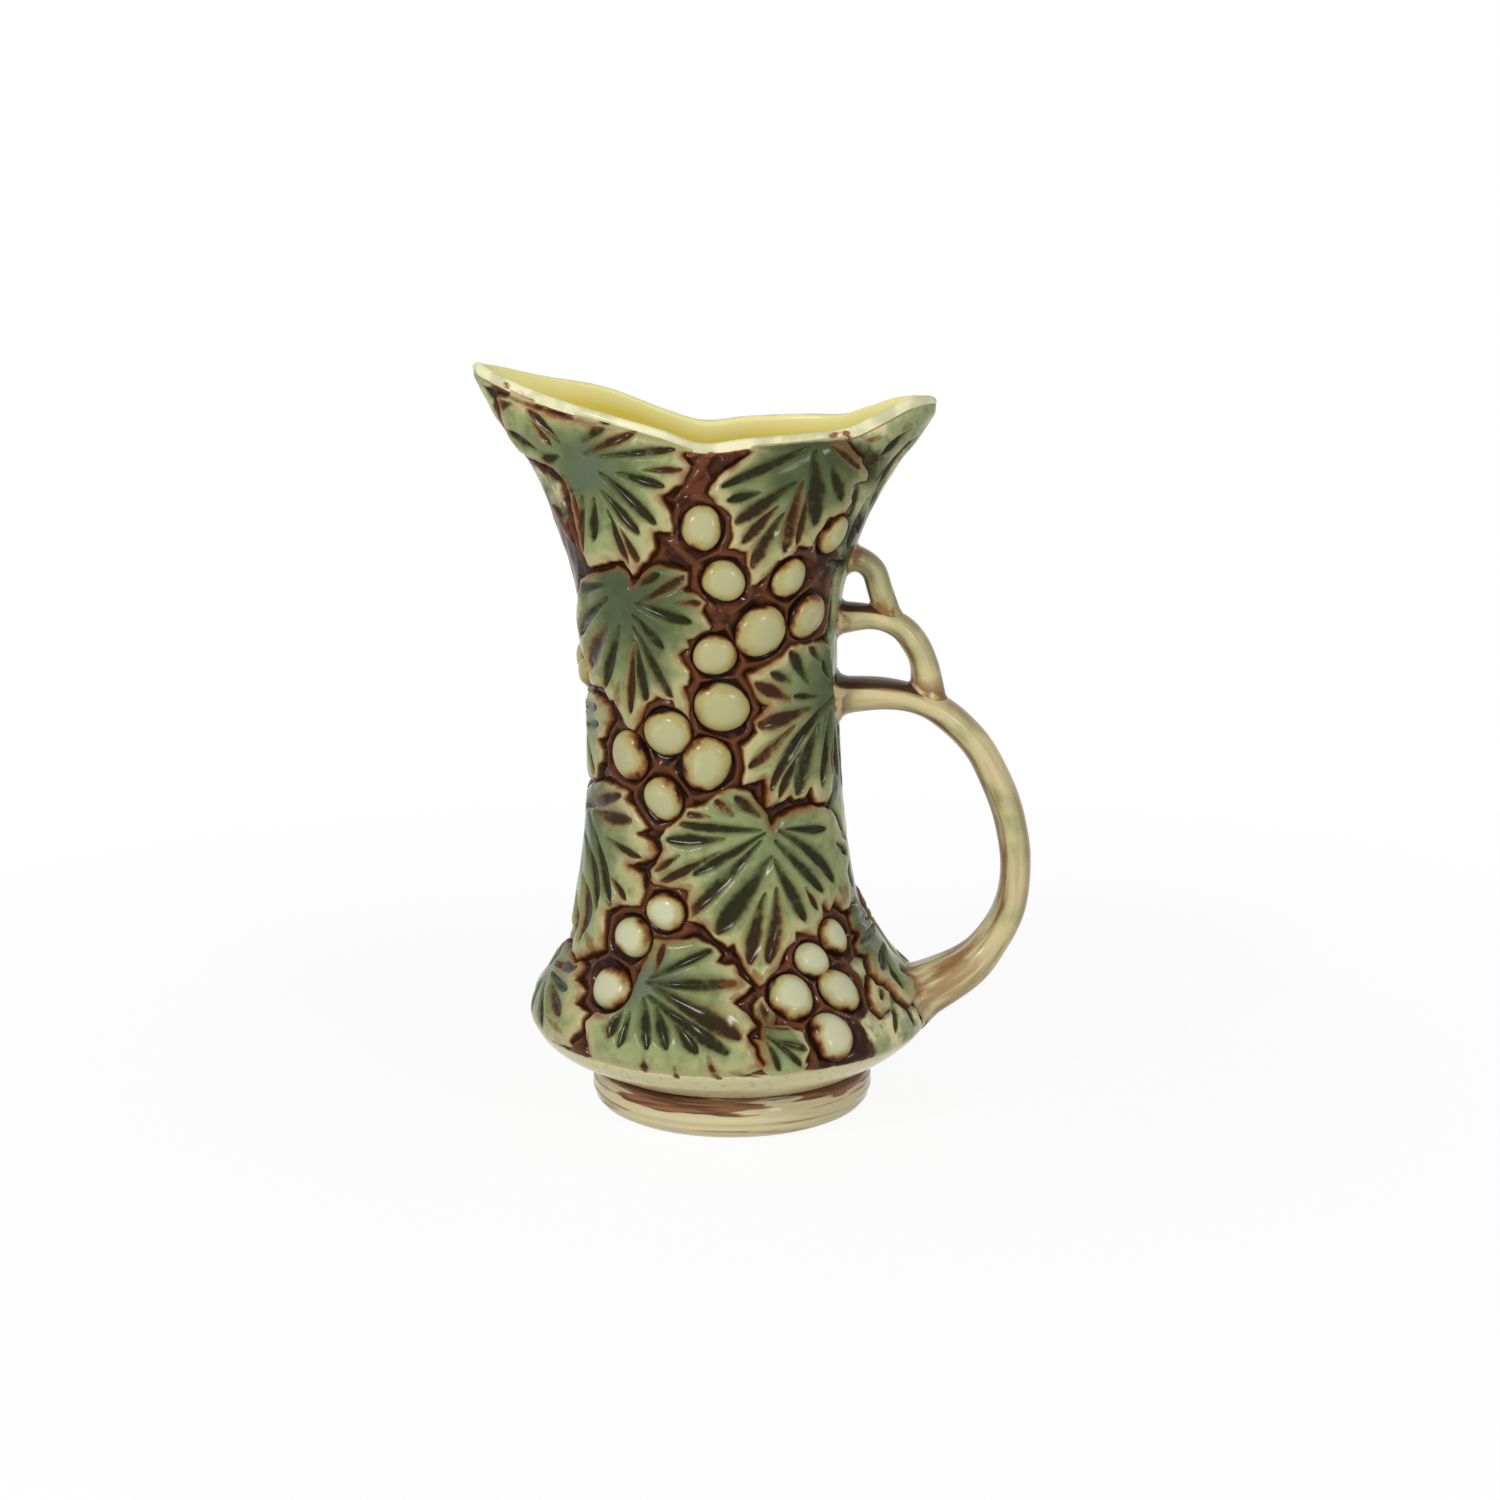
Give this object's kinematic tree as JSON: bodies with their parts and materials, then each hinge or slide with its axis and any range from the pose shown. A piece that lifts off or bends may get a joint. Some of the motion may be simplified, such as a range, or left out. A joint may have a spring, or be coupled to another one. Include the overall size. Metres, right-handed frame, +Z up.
{
  "type": "embossed pitcher",
  "caption": "Glazed ceramic pitcher with a pointed spout, bulging base on a foot ring, arched handle and raised grapevine relief.",
  "frame": {"origin": "middle of the pitcher's box, on the surface that the foot stands on", "axes": "+Z up, spout towards -X, handle towards +X, front of the relief towards -Y"},
  "size_m": [0.1704, 0.1248, 0.23],
  "materials": {
    "foot_glaze": "glossy cream glaze streaked with brown",
    "body_glaze": "glossy red-brown glaze outside, yellow inside, cream rim",
    "handle_glaze": "glossy cream to pale green glaze stained brown at the joints",
    "leaf_glaze": "glossy cream glaze with green hearts and dark hollows",
    "grape_glaze": "glossy pale cream-green glaze ringed with brown"
  },
  "bodies": {
    "root": {"foot_ring": "foot_glaze", "body_shell": "body_glaze", "handle_loop": "handle_glaze", "handle_middle_arch": "handle_glaze", "handle_top_arch": "handle_glaze", "main_leaf_front": "leaf_glaze", "main_leaf_back": "leaf_glaze", "spout_leaf_front": "leaf_glaze", "spout_leaf_back": "leaf_glaze", "neck_leaf_front": "leaf_glaze", "neck_leaf_back": "leaf_glaze", "shoulder_leaf_front": "leaf_glaze", "shoulder_leaf_back": "leaf_glaze", "handle_leaf_front": "leaf_glaze", "handle_leaf_back": "leaf_glaze", "belly_leaf_front": "leaf_glaze", "belly_leaf_back": "leaf_glaze", "side_leaf_front": "leaf_glaze", "side_leaf_back": "leaf_glaze", "small_leaf_front": "leaf_glaze", "small_leaf_back": "leaf_glaze", "root_leaf_front": "leaf_glaze", "root_leaf_back": "leaf_glaze", "edge_leaf_front": "leaf_glaze", "edge_leaf_back": "leaf_glaze", "spout_side_leaf": "leaf_glaze", "middle_grapes_front": "grape_glaze", "middle_grapes_back": "grape_glaze", "handle_side_grapes_front": "grape_glaze", "handle_side_grapes_back": "grape_glaze", "lower_grapes_front": "grape_glaze", "lower_grapes_back": "grape_glaze", "root_grapes_front": "grape_glaze", "root_grapes_back": "grape_glaze", "spout_side_grapes": "grape_glaze"}
  },
  "joints": []
}
